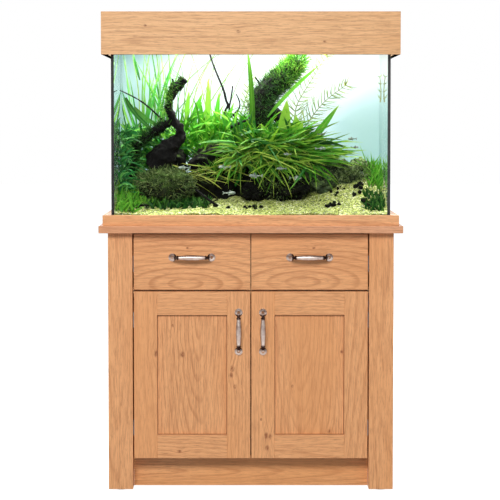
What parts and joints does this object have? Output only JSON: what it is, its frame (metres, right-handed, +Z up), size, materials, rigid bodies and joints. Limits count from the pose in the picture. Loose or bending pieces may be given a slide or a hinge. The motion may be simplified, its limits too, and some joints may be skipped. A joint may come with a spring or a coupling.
{
  "type": "aquarium on stand",
  "caption": "Framed glass aquarium with planted interior on an oak cabinet with drawers and panelled doors, under an oak lift-off hood with a hinged lid.",
  "frame": {"origin": "on the floor under the middle of the piece", "axes": "+Z up, front with the doors and drawers facing -Y, +X to the right seen from the front"},
  "size_m": [0.87, 0.475, 1.375],
  "materials": {
    "cabinet_oak": "satin lacquered oak veneer, honey coloured, with cathedral grain and small knots",
    "hood_oak": "satin lacquered oak veneer, a little paler than the cabinet",
    "carcase_board": "plain pale board inside the cabinet and drawers",
    "pewter": "antique pewter plating, rubbed bright on the high parts and dark in the hollows",
    "hinge_steel": "zinc plated",
    "tank_glass": "clear float glass with polished edges",
    "black_silicone": "black silicone",
    "mat_foam": "closed-cell foam",
    "glide_plastic": "brown plastic",
    "background": "frosted film, white fading to pale aqua",
    "gravel": "fine speckled gravel",
    "stone": "dark rock with moss",
    "driftwood": "waterlogged dark wood",
    "plants": "leaves of water plants",
    "lamp_housing": "anodised",
    "lamp_diffuser": "opal diffuser"
  },
  "bodies": {
    "cabinet": {"back_glass": "tank_glass", "back_panel": "carcase_board", "background_film": "background", "base_glass": "tank_glass", "base_panel": "carcase_board", "cabinet_runners": "hinge_steel", "cabinet_top": "cabinet_oak", "drawer_deck": "carcase_board", "drawer_divider": "carcase_board", "driftwood": "driftwood", "foam_mat": "mat_foam", "foot_glides": "glide_plastic", "front_glass": "tank_glass", "glass_braces": "tank_glass", "gravel_bed": "gravel", "hinge_arms": "hinge_steel", "left_front_post": "cabinet_oak", "left_glass": "tank_glass", "left_rear_post": "cabinet_oak", "left_side_panel": "cabinet_oak", "plant_clumps": "plants", "plinth": "cabinet_oak", "right_front_post": "cabinet_oak", "right_glass": "tank_glass", "right_rear_post": "cabinet_oak", "right_side_panel": "cabinet_oak", "silicone_seams": "black_silicone", "stones": "stone", "tank_surround": "cabinet_oak"},
    "left_drawer": {"left_drawer_front": "cabinet_oak", "left_drawer_handle": "pewter", "left_drawer_walls": "carcase_board", "left_drawer_floor": "carcase_board", "left_drawer_slides": "hinge_steel"},
    "right_drawer": {"right_drawer_front": "cabinet_oak", "right_drawer_handle": "pewter", "right_drawer_walls": "carcase_board", "right_drawer_floor": "carcase_board", "right_drawer_slides": "hinge_steel"},
    "left_door": {"left_door_stiles": "cabinet_oak", "left_door_rails": "cabinet_oak", "left_door_panel": "cabinet_oak", "left_door_handle": "pewter", "left_door_hinge_cups": "hinge_steel"},
    "right_door": {"right_door_stiles": "cabinet_oak", "right_door_rails": "cabinet_oak", "right_door_panel": "cabinet_oak", "right_door_handle": "pewter", "right_door_hinge_cups": "hinge_steel"},
    "hood": {"hood_front": "hood_oak", "hood_back": "hood_oak", "hood_sides": "hood_oak", "hood_top": "hood_oak", "hood_hinge_leaf": "hinge_steel", "lid_hinge_pin": "hinge_steel", "hood_battens": "carcase_board", "light_housing": "lamp_housing", "light_diffuser": "lamp_diffuser"},
    "lid": {"hood_lid": "hood_oak", "lid_hinge_leaf": "hinge_steel"}
  },
  "joints": [
    {"name": "left_door_hinge", "type": "hinge", "parent": "cabinet", "child": "left_door", "pos_m": [-0.3365, -0.203, 0.33], "axis": [0, 0, -1], "range_deg": [0, 100]},
    {"name": "right_door_hinge", "type": "hinge", "parent": "cabinet", "child": "right_door", "pos_m": [0.3365, -0.203, 0.33], "axis": [0, 0, 1], "range_deg": [0, 100]},
    {"name": "left_drawer_slide", "type": "slide", "parent": "cabinet", "child": "left_drawer", "axis": [0, -1, 0], "range_m": [0, 0.25]},
    {"name": "right_drawer_slide", "type": "slide", "parent": "cabinet", "child": "right_drawer", "axis": [0, -1, 0], "range_m": [0, 0.25]},
    {"name": "hood_lift", "type": "slide", "parent": "cabinet", "child": "hood", "axis": [0, 0, 1], "range_m": [0, 0.15]},
    {"name": "lid_hinge", "type": "hinge", "parent": "hood", "child": "lid", "pos_m": [0, -0.03, 1.372], "axis": [-1, 0, 0], "range_deg": [0, 85]}
  ]
}
